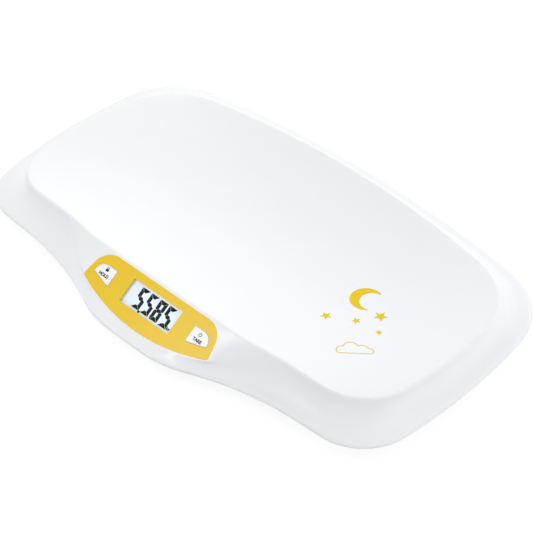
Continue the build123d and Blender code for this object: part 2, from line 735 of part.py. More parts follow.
# ---------------------------------------------------------------- load cells and feet
foot_top = base_bottom - foot_gap
corner_names = ("front_left", "front_right", "back_left", "back_right")
for (x, y), corner in zip(foot_places, corner_names):
    with BuildPart() as load_cell:
        with BuildSketch(Plane.XY.offset(cell_floor)):
            with Locations((x, y)):
                RectangleRounded(cell_size, cell_size, cell_corner)
                Rectangle(cell_window, cell_window, mode=Mode.SUBTRACT)
            with Locations((x, y + (tongue_end - cell_window / 2) / 2)):
                Rectangle(tongue_width, cell_window / 2 + tongue_end)
            with Locations((x, y)):
                Circle(foot_pin + pin_fit, mode=Mode.SUBTRACT)
        extrude(amount=cell_thickness)
        with BuildSketch(Plane.XY.offset(cell_top)):
            with Locations((x, y + (gauge_length - cell_window) / 2 + gauge_inset)):
                RectangleRounded(tongue_width - 4 * gauge_inset, gauge_length, gauge_corner)
        extrude(amount=gauge_height)
    load_cell.part.label = f"load_cell_{corner}"
    export_step(load_cell.part, f"parts/load_cell_{corner}.step")

    with BuildPart() as cover:
        with BuildSketch(Plane.XY.offset(cell_top)):
            with Locations((x, y)):
                RectangleRounded(bay_length - 2 * cover_gap, bay_width - 2 * cover_gap, bay_corner)
                Rectangle(cell_window, cell_window, mode=Mode.SUBTRACT)
            with Locations((x - cell_screw_x, y), (x + cell_screw_x, y)):
                Circle(cell_screw_radius + screw_fit, mode=Mode.SUBTRACT)
        extrude(amount=cover_thickness)
    cover.part.label = f"load_cell_cover_{corner}"
    export_step(cover.part, f"parts/load_cell_cover_{corner}.step")

    with BuildPart() as foot:
        with BuildSketch(Plane.XZ.offset(-y)):
            with BuildLine():
                Polyline((x, pad_height), (x + pad_radius + pad_fit, pad_height),
                         (x + pad_radius + pad_fit, foot_bottom), (x + foot_radius, foot_bottom),
                         (x + foot_radius, foot_top - foot_edge), (x + foot_radius - foot_edge, foot_top),
                         (x + foot_stem, foot_top), (x + foot_stem, cell_floor),
                         (x + foot_pin, cell_floor), (x + foot_pin, cell_top - pin_end_gap),
                         (x, cell_top - pin_end_gap), close=True)
            make_face()
        revolve(axis=Axis((x, y, 0), (0, 0, 1)))
    foot.part.label = f"foot_{corner}"
    export_step(foot.part, f"parts/foot_{corner}.step")

    with BuildPart() as pad:
        with BuildSketch(Plane.XY):
            with Locations((x, y)):
                Circle(pad_radius)
        extrude(amount=pad_height)
        chamfer(pad.faces().sort_by(Axis.Z)[0].edges(), pad_bevel)
        with BuildSketch(Plane.XY):
            with Locations((x, y)):
                Circle(groove_outer)
                Circle(groove_inner, mode=Mode.SUBTRACT)
        extrude(amount=pad_groove, mode=Mode.SUBTRACT)
    pad.part.label = f"foot_pad_{corner}"
    export_step(pad.part, f"parts/foot_pad_{corner}.step")

cover_top = cell_top + cover_thickness
cell_screw_places = [(x + side * cell_screw_x, y) for x, y in foot_places for side in (-1, 1)]
with BuildPart() as load_cell_screws:
    with BuildSketch(Plane.XY.offset(cover_top)):
        with Locations(*cell_screw_places):
            Circle(cell_screw_head)
    extrude(amount=cell_screw_head_height)
    with BuildSketch(Plane.XY.offset(cell_screw_end)):
        with Locations(*cell_screw_places):
            Circle(cell_screw_radius)
    extrude(amount=cover_top - cell_screw_end)
load_cell_screws.part.label = "load_cell_screws"
export_step(load_cell_screws.part, "parts/load_cell_screws.step")

head_bottom = base_bottom + screw_recess
with BuildPart() as housing_screws:
    with BuildSketch(Plane.XY.offset(head_bottom)):
        with Locations(*all_bosses):
            Circle(housing_screw_head)
    extrude(amount=housing_screw_head_height)
    with BuildSketch(Plane.XY.offset(head_bottom + housing_screw_head_height)):
        with Locations(*all_bosses):
            Circle(housing_screw_radius)
    extrude(amount=boss_top + housing_screw_length - screw_end_gap - head_bottom - housing_screw_head_height)
housing_screws.part.label = "housing_screws"
export_step(housing_screws.part, "parts/housing_screws.step")
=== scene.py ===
import math

import bpy
import numpy as np
from mathutils import Matrix, Vector
from mathutils.geometry import delaunay_2d_cdt


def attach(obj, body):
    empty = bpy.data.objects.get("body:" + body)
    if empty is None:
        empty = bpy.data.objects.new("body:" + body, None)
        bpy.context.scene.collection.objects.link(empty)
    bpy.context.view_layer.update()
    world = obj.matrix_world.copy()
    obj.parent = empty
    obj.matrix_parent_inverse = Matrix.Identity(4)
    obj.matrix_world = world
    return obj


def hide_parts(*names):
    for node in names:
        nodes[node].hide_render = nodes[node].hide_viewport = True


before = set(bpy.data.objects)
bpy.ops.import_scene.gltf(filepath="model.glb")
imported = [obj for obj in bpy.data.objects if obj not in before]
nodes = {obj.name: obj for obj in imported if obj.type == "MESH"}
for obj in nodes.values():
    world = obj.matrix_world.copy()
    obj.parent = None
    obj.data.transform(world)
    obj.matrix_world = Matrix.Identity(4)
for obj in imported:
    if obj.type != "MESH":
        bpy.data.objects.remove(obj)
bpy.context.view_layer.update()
MM = 0.001


# -------------------------------- small makers
def into_scene(name, data):
    """A new object in the scene for a mesh, a lettering, a lamp or the camera."""
    made = bpy.data.objects.new(name, data)
    bpy.context.scene.collection.objects.link(made)
    return made


def hex_colour(text):
    """sRGB hex value as the linear colour that a shader takes."""
    parts = [int(text[i:i + 2], 16) / 255 for i in (1, 3, 5)]
    return [c / 12.92 if c <= 0.04045 else ((c + 0.055) / 1.055) ** 2.4 for c in parts] + [1.0]


def fill_inputs(tree, made, **sockets):
    """Fills or links a node's inputs, called by name, or i and a number. A list is several links to one."""
    for name, value in sockets.items():
        key = int(name[1:]) if name[0] == "i" and name[1:].isdigit() else name.replace("_", " ")
        sources = value if isinstance(value, list) else [value]
        if isinstance(sources[0], bpy.types.NodeSocket):
            for source in sources:
                tree.links.new(source, made.inputs[key])
        else:
            made.inputs[key].default_value = hex_colour(value) if isinstance(value, str) else value


def add_node(tree, kind, settings=None, **sockets):
    """Adds a node, with its settings, and fills or links its inputs."""
    made = tree.nodes.new(kind)
    for name, value in (settings or {}).items():
        setattr(made, name, value)
    fill_inputs(tree, made, **sockets)
    return made


def new_finish(name, colour, roughness, ior=1.5, **extra):
    """A material set to one base finish, with its tree, its shader and the places for its patterns."""
    material = bpy.data.materials.new(name)
    material.use_nodes = True
    tree = material.node_tree
    shader = tree.nodes["Principled BSDF"]
    fill_inputs(tree, shader, Base_Color=colour, Roughness=roughness, IOR=ior, **extra)
    return material, tree, shader, add_node(tree, "ShaderNodeTexCoord").outputs["Object"]


def finished_mesh(piece):
    """What a piece's modifiers or letters make, as a plain mesh."""
    bpy.context.view_layer.update()
    return bpy.data.meshes.new_from_object(piece.evaluated_get(bpy.context.evaluated_depsgraph_get()))


def plain_mesh(name, verts, faces, material, smooth=True):
    """A mesh piece from points in mm."""
    mesh = bpy.data.meshes.new(name)
    mesh.from_pydata([tuple(c * MM for c in v) for v in verts], [], faces)
    mesh.validate()
    mesh.materials.append(material)
    mesh.polygons.foreach_set("use_smooth", [smooth] * len(mesh.polygons))
    return into_scene(name, mesh)


def join_model(piece, body, slot, *stands_for):
    """The piece rides on a body and stands for the nodes named, which it hides; its slot is not used."""
    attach(piece, body)
    if stands_for:
        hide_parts(*stands_for)
    return piece


# -------------------------------- camera
CAMERA_AIM = Vector((27.69, -6.36, 20.0)) * MM
CAMERA_TURN, CAMERA_RISE, CAMERA_ROLL = math.radians(43.649), math.radians(42.968), math.radians(0.166)
CAMERA_DISTANCE, CAMERA_LENS, SENSOR_WIDTH = 1.95049, 127.57, 36.0

back_from_aim = Vector((math.sin(CAMERA_TURN) * math.cos(CAMERA_RISE),
                        -math.cos(CAMERA_TURN) * math.cos(CAMERA_RISE), math.sin(CAMERA_RISE)))
camera_data = bpy.data.cameras.new("camera")
camera_data.sensor_fit = "HORIZONTAL"
camera_data.sensor_width = SENSOR_WIDTH
camera_data.lens = CAMERA_LENS
camera_data.clip_start = 10 * MM
camera = into_scene("camera", camera_data)
camera.matrix_world = Matrix.Translation(CAMERA_AIM + back_from_aim * CAMERA_DISTANCE) @ (
    back_from_aim.to_track_quat("Z", "Y").to_matrix().to_4x4() @ Matrix.Rotation(CAMERA_ROLL, 4, "Z"))
bpy.context.scene.camera = camera

# -------------------------------- sizes of the moulding, in mm
HALF_LENGTH, HALF_WIDTH = 290.0, 181.0
FLANGE_END, FLANGE_BACK, FLANGE_FRONT, BULGE_DEPTH = 24.7, 29.0, 24.5, 40.0
RIM_FRONT_SIDE = BULGE_DEPTH - HALF_WIDTH
CREST_FRONT, CREST_BACK = RIM_FRONT_SIDE + FLANGE_FRONT, HALF_WIDTH - FLANGE_BACK
RIM_BASE = 15.5
FRONT_CORNER, BACK_CORNER, SIDE_BOW = 62.0, 85.0, 6.0
FRONT_SLOPE, BACK_SLOPE, CORNER_TURN = math.radians(2.5), math.radians(9.5), math.radians(82.0)
LEAST_BULGE_TURN = math.radians(0.5)
WALL = 2.6
REAR_EDGE = HALF_WIDTH - 0.07      # keeps the rear lip inside the flat faces of the solid
# The weighing surface is a trough, which rises to the ends and the long sides and is higher in front.
TRAY_HALF_LENGTH = HALF_LENGTH - FLANGE_END
TRAY_HALF_WIDTH = (CREST_BACK - CREST_FRONT) / 2 + 2.25
TRAY_MIDDLE = (CREST_FRONT + CREST_BACK) / 2 - 6.85
FLOOR_HEIGHT, END_RISE, SIDE_RISE, FRONT_LIFT, RISE_POWER, END_LIMIT = 31.0, 12.0, 17.8, 6.8, 2.5, 1.15
# The deck is the sloping flat of the console: its middle, and the directions up the slope and out of it.
DECK_TILT = math.radians(33.4)
DECK_MIDDLE = np.array((0.0, 37.1 - HALF_WIDTH, 41.0))
DECK_UP = np.array((0.0, math.cos(DECK_TILT), math.sin(DECK_TILT)))
DECK_OUT = np.array((0.0, -math.sin(DECK_TILT), math.cos(DECK_TILT)))
DECK_SINK = 0.4
# Display plate on the deck: top corner with its round, tip, and the lowest point of the arc below.
PLATE_TOP, PLATE_ROUND, PLATE_TIP, PLATE_LOW = (82.5, 22.3), 22.0, (89.5, -12.0), -29.7
# Contours of the skin: height above the lower edge, share of the way from rim to crest, half flat front and
# convex turn of the bulge, straight shoulder, and how far the bulge's front stands back; None is on the deck.
LEVELS = [
    (0.0, 0.06, 20.0, 74.0, 29.0, 1.5),
    (3.0, 0.00, 20.0, 74.0, 29.5, 0.0),
    (5.1, 0.04, 20.0, 75.0, 29.5, 0.9),
    (6.0, 0.11, 22.0, 77.0, 29.0, 3.0),
    (6.8, 0.24, 28.0, 82.0, 28.0, 7.0),
    (8.1, 0.42, 36.0, 87.0, 26.5, None),
    (10.5, 0.60, 47.0, 92.0, 25.5, None),
    (13.5, 0.76, 60.0, 98.0, 26.0, None),
    (16.0, 0.84, 70.0, 102.0, 27.0, None),
    (18.5, 0.895, 78.0, 106.0, 28.0, None),
    (42.5, 1.06, 87.0, 118.0, 39.5, None),
]
# Points along the stretches of a contour and of the plate, and rows up the wall, over the crest and inwards.
NOSE_POINTS, BULGE_POINTS, WAIST_POINTS, SIDE_POINTS = 45, 18, 30, 8
CORNER_POINTS, END_POINTS, TURN_POINTS, BACK_POINTS = 22, 18, 26, 30
PLATE_ARC_POINTS, PLATE_ROUND_POINTS = 60, 12
BETWEEN_LEVELS, WALL_ROWS, LIP_ROWS, FLOOR_ROWS = 16, 40, 6, 30
LIP_OUT, LIP_IN = 3.4, 3.2

# -------------------------------- finishes
# Pattern sizes are in mm. Grain that is finer in the real finish is drawn as coarse as it needs to show.
COLOURS = {"data_type": "RGBA"}      # makes a Mix node blend the colours at its inputs 6 and 7
BAND_STEP = 2 * math.pi / 20         # metres from band to band of a Wave texture at scale 1

# Polished injection-moulded ABS: bright skin, with very faint waves from the mould, 36 mm long.
shell_gloss, tree, shader, spot = new_finish("polished_white_abs", "#F1F3F8", 0.24)
waves = add_node(tree, "ShaderNodeTexNoise", Vector=spot, Scale=1 / (35.7 * MM), Detail=1.0).outputs["Fac"]
skin = add_node(tree, "ShaderNodeBump", Strength=0.03, Distance=0.6 * MM, Height=waves)
tone = add_node(tree, "ShaderNodeMix", COLOURS, Factor=waves, i6="#F4F5F9", i7="#F2F3F7")
fill_inputs(tree, shader, Base_Color=tone.outputs[2], Normal=skin.outputs["Normal"])

# Printed polycarbonate overlay: even yellow under a satin film, whose fine grain softens the highlight.
bezel_film, tree, shader, spot = new_finish("yellow_overlay_film", "#F2C21C", 0.28, Specular_IOR_Level=0.4)
grain = add_node(tree, "ShaderNodeTexNoise", Vector=spot, Scale=1 / (0.455 * MM), Detail=2.0).outputs["Fac"]
film = add_node(tree, "ShaderNodeBump", Strength=0.08, Distance=0.05 * MM, Height=grain)
ink = add_node(tree, "ShaderNodeMix", COLOURS, Factor=grain, i6="#F2CC1E", i7="#EFC716")
fill_inputs(tree, shader, Base_Color=ink.outputs[2], Normal=film.outputs["Normal"])


def satin_plastic(name, light, dark, roughness, spark_mm, depth_mm):
    """Satin ABS of keys and inner mouldings, and its like: an even spark texture dulls the gloss."""
    material, tree, shader, spot = new_finish(name, light, roughness, 1.53)
    spark = add_node(tree, "ShaderNodeTexNoise", Vector=spot, Scale=1 / (spark_mm * MM),
                     Detail=2.0).outputs["Fac"]
    relief = add_node(tree, "ShaderNodeBump", Strength=0.25, Distance=depth_mm * MM, Height=spark)
    shade = add_node(tree, "ShaderNodeMix", COLOURS, Factor=spark, i6=light, i7=dark)
    fill_inputs(tree, shader, Base_Color=shade.outputs[2], Normal=relief.outputs["Normal"])
    return material


key_satin = satin_plastic("satin_white_key", "#FDFDFE", "#F7F8FA", 0.32, 0.6, 0.01)
base_texture = satin_plastic("fine_textured_base_abs", "#EDEEEF", "#E3E5E7", 0.55, 0.9, 0.03)
inner_white = satin_plastic("inner_white_moulding", "#E6E6E3", "#DEDEDB", 0.5, 0.8, 0.02)
foot_satin = satin_plastic("satin_foot_moulding", "#E2E4E5", "#D9DBDD", 0.5, 0.8, 0.02)
switch_black = satin_plastic("black_switch_body", "#202124", "#191A1C", 0.45, 0.5, 0.01)
chip_potting = satin_plastic("black_epoxy_potting", "#141416", "#1B1B1E", 0.35, 1.2, 0.05)
pad_rubber = satin_plastic("anti_slip_rubber", "#3B3D40", "#333538", 0.8, 0.5, 0.03)

# Clear acrylic window with an anti-reflection coat, which mirrors a third of what bare acrylic does.
window_clear, tree, shader, spot = new_finish("clear_acrylic_window", "#FFFFFF", 0.03, 1.25,
                                              Transmission_Weight=1.0)
haze = add_node(tree, "ShaderNodeTexNoise", Vector=spot, Scale=1 / (3.33 * MM))
polish = add_node(tree, "ShaderNodeMapRange", Value=haze.outputs["Fac"], To_Min=0.0, To_Max=0.015)
fill_inputs(tree, shader, Roughness=polish.outputs["Result"])

# Liquid-crystal cell: pale blue with the diffuser's fine grain, and a faint cold-blue painted glow. The glow
# lifts the cell out of the shade of its recess and cools the yellow light bounced onto it.
lcd_cell, tree, shader, spot = new_finish("lcd_cell_painted_glow", "#EDF6FC", 0.35, 1.52,
                                          Emission_Color="#BFDDFF", Emission_Strength=0.13)
diffuser = add_node(tree, "ShaderNodeTexNoise", Vector=spot, Scale=1 / (0.667 * MM), Detail=3.0)
cell_tone = add_node(tree, "ShaderNodeMix", COLOURS, Factor=diffuser.outputs["Fac"], i6="#E0EDFA",
                     i7="#EAF4FF")
fill_inputs(tree, shader, Base_Color=cell_tone.outputs[2])

# Lit segments: dark blue-black crystal, a trace uneven in depth.
segment_dark, tree, shader, spot = new_finish("dark_lcd_segment", "#06070A", 0.5, Specular_IOR_Level=0.02)
density = add_node(tree, "ShaderNodeTexNoise", Vector=spot, Scale=1 / (1.11 * MM))
segment_tone = add_node(tree, "ShaderNodeMix", COLOURS, Factor=density.outputs["Fac"], i6="#050608",
                        i7="#090B0E")
fill_inputs(tree, shader, Base_Color=segment_tone.outputs[2])


def printed_ink(name, light, dark):
    """Pad-printed ink: thin and satin, with a trace of uneven cover."""
    material, tree, shader, spot = new_finish(name, light, 0.35, Specular_IOR_Level=0.15)
    cover = add_node(tree, "ShaderNodeTexNoise", Vector=spot, Scale=1 / (1.43 * MM), Detail=2.0)
    tint = add_node(tree, "ShaderNodeMix", COLOURS, Factor=cover.outputs["Fac"], i6=light, i7=dark)
    fill_inputs(tree, shader, Base_Color=tint.outputs[2])
    return material


yellow_ink = printed_ink("yellow_pad_print", "#ECCB1C", "#E8C613")
grey_ink = printed_ink("dark_grey_key_print", "#23262B", "#1D2024")

# Solder mask over a fibreglass board: deep green, with raised copper tracks 1.2 mm apart showing through.
board_mask, tree, shader, spot = new_finish("green_solder_mask", "#14573A", 0.3)
tracks = add_node(tree, "ShaderNodeTexWave", {"bands_direction": "X"}, Vector=spot,
                  Scale=BAND_STEP / (1.21 * MM), Distortion=6.0)
track_edge = add_node(tree, "ShaderNodeMapRange", Value=tracks.outputs["Fac"], From_Min=0.62,
                      From_Max=0.7).outputs["Result"]
track_tone = add_node(tree, "ShaderNodeMix", COLOURS, Factor=track_edge, i6="#135036", i7="#1E7047")
raised = add_node(tree, "ShaderNodeBump", Strength=0.4, Distance=0.04 * MM, Height=track_edge)
fill_inputs(tree, shader, Base_Color=track_tone.outputs[2], Normal=raised.outputs["Normal"])


def streaked_metal(name, light, dark, roughness, streak_mm):
    """Rolled or plated metal: fine streaks along X from rolling, in tone and in gloss."""
    material, tree, shader, spot = new_finish(name, light, roughness, Metallic=1.0)
    stretch = add_node(tree, "ShaderNodeMapping", Vector=spot, Scale=(0.08, 1.0, 1.0))
    streaks = add_node(tree, "ShaderNodeTexNoise", Vector=stretch.outputs["Vector"],
                       Scale=1 / (streak_mm * MM), Detail=3.0).outputs["Fac"]
    blend = add_node(tree, "ShaderNodeMix", COLOURS, Factor=streaks, i6=light, i7=dark)
    rough = add_node(tree, "ShaderNodeMapRange", Value=streaks, To_Min=roughness - 0.06,
                     To_Max=roughness + 0.08)
    fill_inputs(tree, shader, Base_Color=blend.outputs[2], Roughness=rough.outputs["Result"])
    return material


screw_zinc = streaked_metal("zinc_plated_screw", "#C9CACB", "#B4B6B9", 0.3, 0.3)
cell_steel = streaked_metal("stamped_alloy_steel", "#B9BBBE", "#A3A6AA", 0.36, 0.4)
contact_nickel = streaked_metal("nickel_plated_spring_steel", "#D8D5CB", "#C6C2B6", 0.26, 0.3)

# Striped silicone connector: conducting layers 0.2 mm apart, drawn at 0.8 mm so that they show.
connector_rubber, tree, shader, spot = new_finish("striped_silicone_connector", "#C98F8C", 0.6)
layers = add_node(tree, "ShaderNodeTexWave", {"bands_direction": "X"}, Vector=spot,
                  Scale=BAND_STEP / (0.806 * MM))
layer_tone = add_node(tree, "ShaderNodeMix", COLOURS, Factor=layers.outputs["Fac"], i6="#C98F8C",
                      i7="#3A2F2F")
fill_inputs(tree, shader, Base_Color=layer_tone.outputs[2])

# Shrink sleeve of a dry cell: glossy blue-grey jacket, with a silver band at the raised end.
cell_jacket, tree, shader, spot = new_finish("dry_cell_shrink_sleeve", "#41617E", 0.25)
along = add_node(tree, "ShaderNodeSeparateXYZ", Vector=spot)
band = add_node(tree, "ShaderNodeMapRange", Value=along.outputs["X"], From_Min=12.0 * MM, From_Max=12.4 * MM)
jacket_tone = add_node(tree, "ShaderNodeMix", COLOURS, Factor=band.outputs["Result"], i6="#41617E",
                       i7="#C4C6C8")
fill_inputs(tree, shader, Base_Color=jacket_tone.outputs[2])


# -------------------------------- the tray shell
def tray_height(x, y):
    """Height of the weighing surface above the table, in mm."""
    end_share = np.minimum(END_LIMIT, np.abs(x) / TRAY_HALF_LENGTH) ** RISE_POWER
    across = (y - TRAY_MIDDLE) / TRAY_HALF_WIDTH
    return FLOOR_HEIGHT + END_RISE * end_share + SIDE_RISE * (1 - end_share) * across**2 - FRONT_LIFT * across


def run_arc(point, heading, radius, angle, count):
    """Points of an arc that starts at a point with a heading, and the heading at its end."""
    side = 1 if angle >= 0 else -1
    centre = point + radius * side * np.array((-math.sin(heading), math.cos(heading)))
    start = heading - side * math.pi / 2
    steps = start + angle * np.arange(1, count + 1) / count
    return centre + radius * np.column_stack((np.cos(steps), np.sin(steps))), heading + angle


def three_point_arc(first, middle, last, count):
    """Points of the arc from first through middle to last, without the first."""
    a, b = middle - first, last - first
    d = 2 * (a[0] * b[1] - a[1] * b[0])
    centre = first + np.array((b[1] * (a @ a) - a[1] * (b @ b), a[0] * (b @ b) - b[0] * (a @ a))) / d
    radius = np.linalg.norm(first - centre)
    start = math.atan2(*(first - centre)[::-1])
    end = math.atan2(*(last - centre)[::-1])
    steps = start + (end - start) * np.arange(1, count + 1) / count
    return centre + radius * np.column_stack((np.cos(steps), np.sin(steps)))


def bulge_turn(first, second, depth):
    """Turn of the bulge's two arcs, this long along X, that brings them back by a depth: Newton's steps."""
    angle = 0.3
    for _ in range(30):
        reach = first * math.tan(angle / 2) + second * math.tan((angle + FRONT_SLOPE) / 2)
        rate = first / 2 / math.cos(angle / 2) ** 2
        rate += second / 2 / math.cos((angle + FRONT_SLOPE) / 2) ** 2
        angle -= (reach - depth) / rate
    return max(angle, FRONT_SLOPE + LEAST_BULGE_TURN)


def half_outline(share, flat, convex, shoulder, front):
    """Right half of the shell's outline at one level, from the front middle to the back middle."""
    side_front = RIM_FRONT_SIDE + (CREST_FRONT - RIM_FRONT_SIDE) * share
    end_x = HALF_LENGTH + (TRAY_HALF_LENGTH - HALF_LENGTH) * share - SIDE_BOW
    concave = end_x - FRONT_CORNER * (math.sin(CORNER_TURN) - math.sin(FRONT_SLOPE)) - shoulder
    angle = bulge_turn(convex - flat, concave - convex, side_front - front)
    back_y = HALF_WIDTH + (CREST_BACK - HALF_WIDTH) * share
    nose = np.column_stack((np.linspace(0, flat, NOSE_POINTS), np.full(NOSE_POINTS, front)))
    bulge, heading = run_arc(nose[-1], 0.0, (convex - flat) / math.sin(angle), angle, BULGE_POINTS)
    waist_radius = (concave - convex) / (math.sin(angle) - math.sin(FRONT_SLOPE))
    waist, _ = run_arc(bulge[-1], heading, waist_radius, FRONT_SLOPE - angle, WAIST_POINTS)
    direction = np.array((1.0, math.tan(FRONT_SLOPE)))
    side = waist[-1] + direction * shoulder * np.arange(1, SIDE_POINTS + 1)[:, None] / SIDE_POINTS
    corner, _ = run_arc(side[-1], FRONT_SLOPE, FRONT_CORNER, CORNER_TURN - FRONT_SLOPE, CORNER_POINTS)
    back_reach = end_x - BACK_CORNER * (math.sin(CORNER_TURN) - math.sin(BACK_SLOPE))
    back_radius = back_reach / math.sin(BACK_SLOPE)
    back, heading = run_arc(np.array((0.0, back_y)), 0.0, back_radius, -BACK_SLOPE, BACK_POINTS)
    turn_in, _ = run_arc(back[-1], heading, BACK_CORNER, BACK_SLOPE - CORNER_TURN, TURN_POINTS)
    bow = np.array((end_x + SIDE_BOW, (corner[-1][1] + turn_in[-1][1]) / 2))
    end = three_point_arc(corner[-1], bow, turn_in[-1], END_POINTS)
    back_way = np.vstack(((0.0, back_y), back, turn_in))[::-1][1:]
    return np.vstack((nose, bulge, waist, side, corner, end, back_way))


def shell_stations():
    """Contours of the outer skin, one above another, as an array level x column x 3."""
    rows = []
    for rise_z, share, flat, convex, shoulder, setback in LEVELS:
        z = RIM_BASE + rise_z
        if setback is None:
            on_slope = z + DECK_SINK / math.cos(DECK_TILT) - DECK_MIDDLE[2]
            front = DECK_MIDDLE[1] + on_slope / math.tan(DECK_TILT)
        else:
            front = setback - HALF_WIDTH
        half = half_outline(share, flat, convex, shoulder, front)
        left = half[-2:0:-1] * (-1, 1)
        ring = np.vstack((half, left))
        rows.append(np.column_stack((ring, np.full(len(ring), z))))
    return np.array(rows)


def skin_curve(stations, fine):
    """Smooth curve through the stations of every column, sampled finely from the rim up."""
    steps = np.linalg.norm(np.diff(stations, axis=0), axis=2).mean(1)
    knots = np.concatenate(((0.0,), np.cumsum(steps)))
    slopes = np.empty_like(stations)
    gaps = np.diff(knots)[:, None, None]
    chords = np.diff(stations, axis=0) / gaps
    slopes[1:-1] = (chords[:-1] * gaps[1:] + chords[1:] * gaps[:-1]) / (gaps[1:] + gaps[:-1])
    slopes[0], slopes[-1] = chords[0], chords[-1]
    out = []
    for i in range(len(knots) - 1):
        h = knots[i + 1] - knots[i]
        for t in np.arange(fine) / fine:
            out.append((2 * t**3 - 3 * t**2 + 1) * stations[i] + (t**3 - 2 * t**2 + t) * h * slopes[i]
                       + (3 * t**2 - 2 * t**3) * stations[i + 1] + (t**3 - t**2) * h * slopes[i + 1])
    out.append(stations[-1])
    return np.array(out)


def plate_outline():
    """Boat-shaped outline of the display plate on the deck: two rounded top corners, tips and lower arc."""
    right_top, right_tip, mirror = np.array(PLATE_TOP), np.array(PLATE_TIP), np.array((-1.0, 1.0))
    arc = three_point_arc(right_tip, np.array((0.0, PLATE_LOW)), right_tip * mirror, PLATE_ARC_POINTS)
    ring = [right_top * mirror, right_top, right_tip, *arc]
    points = []
    for i, p in enumerate(ring[:2]):
        before, after = ring[i - 1], ring[i + 1]
        u, v = (before - p) / np.linalg.norm(before - p), (after - p) / np.linalg.norm(after - p)
        angle = math.acos(u @ v)
        reach = PLATE_ROUND / math.tan(angle / 2)
        centre = p + (u + v) / np.linalg.norm(u + v) * PLATE_ROUND / math.sin(angle / 2)
        a = math.atan2(*((p + u * reach) - centre)[::-1])
        b = math.atan2(*((p + v * reach) - centre)[::-1])
        b += 2 * math.pi if b < a - math.pi else -2 * math.pi if b > a + math.pi else 0
        steps = np.linspace(a, b, PLATE_ROUND_POINTS)
        points += [centre + PLATE_ROUND * np.array((math.cos(s), math.sin(s))) for s in steps]
    return np.array(points + ring[2:])


def line_distance(points, ring):
    """Distance of each point to a closed outline, negative inside."""
    near = np.full(len(points), 1e9)
    inside = np.zeros(len(points), bool)
    for a, b in zip(ring, np.roll(ring, -1, axis=0)):
        d = b - a
        share = np.clip(((points - a) @ d) / (d @ d), 0, 1)
        near = np.minimum(near, np.linalg.norm(points - a - share[:, None] * d, axis=1))
        crosses = (a[1] > points[:, 1]) != (b[1] > points[:, 1])
        if abs(d[1]) > 1e-12:
            inside ^= crosses & (points[:, 0] < a[0] + d[0] * (points[:, 1] - a[1]) / d[1])
    return np.where(inside, -near, near)


def soften_beside_deck(grid, gap):
    """Evens out the skin between the display plate and the flange, as a mould maker blends it."""
    far, fade, near_edge, behind, beside, passes = 48, 26, 1.8, -100, 150, 220
    near = np.clip((far - gap) / fade, 0, 1)
    near *= (gap > near_edge) & (grid[:, :, 1] < behind) & (np.abs(grid[:, :, 0]) < beside)
    # the rim and the weighing surface keep their shape: the blend fades out over a few rows
    level = np.arange(len(grid))
    near *= (np.clip((level - 3) / 5, 0, 1) * np.clip((WALL_ROWS + 2 - level) / 4, 0, 1))[:, None]
    for _ in range(passes):
        around = (np.roll(grid, 1, axis=1) + np.roll(grid, -1, axis=1)) / 4
        around[1:-1] += (grid[2:] + grid[:-2]) / 4
        around[0] = around[-1] = 0
        step = near * 0.5
        step[0] = step[-1] = 0
        grid = grid + step[:, :, None] * (around - grid)
    return grid


def skin_rows():
    """The skin as rows of points: up the wall, over the rounded crest and down to the middle of the tray."""
    curve = skin_curve(shell_stations(), BETWEEN_LEVELS)
    over = curve[:, :, 2] - tray_height(curve[:, :, 0], curve[:, :, 1])
    columns = curve.shape[1]
    wall, crest = [], []
    for c in range(columns):
        k = int(np.argmax(over[:, c] > 0))
        share = over[k - 1, c] / (over[k - 1, c] - over[k, c])
        top = curve[k - 1, c] + share * (curve[k, c] - curve[k - 1, c])
        path = np.vstack((curve[:k, c], top))
        length = np.concatenate(((0.0,), np.cumsum(np.linalg.norm(np.diff(path, axis=0), axis=1))))
        marks = (length[-1] - LIP_OUT) * np.linspace(0, 1, WALL_ROWS)
        wall.append(np.column_stack([np.interp(marks, length, path[:, i]) for i in range(3)]))
        crest.append(top)
    wall = np.array(wall).transpose(1, 0, 2)
    crest = np.array(crest)
    along = np.roll(crest, -1, axis=0) - np.roll(crest, 1, axis=0)
    inward = np.column_stack((-along[:, 1], along[:, 0]))
    inward /= np.linalg.norm(inward, axis=1)[:, None]
    lip_end = np.column_stack((crest[:, :2] + inward * LIP_IN, np.zeros(columns)))
    lip_end[:, 2] = tray_height(lip_end[:, 0], lip_end[:, 1])
    rows = list(wall)
    for t in np.arange(1, LIP_ROWS + 1) / LIP_ROWS:
        rows.append((1 - t) ** 2 * wall[-1] + 2 * t * (1 - t) * crest + t**2 * lip_end)
    middle = np.array((0.0, TRAY_MIDDLE))
    for s in 1 - (np.arange(1, FLOOR_ROWS) / FLOOR_ROWS) ** 0.9:
        flat = middle + (lip_end[:, :2] - middle) * s
        rows.append(np.column_stack((flat, tray_height(flat[:, 0], flat[:, 1]))))
    return np.array(rows)


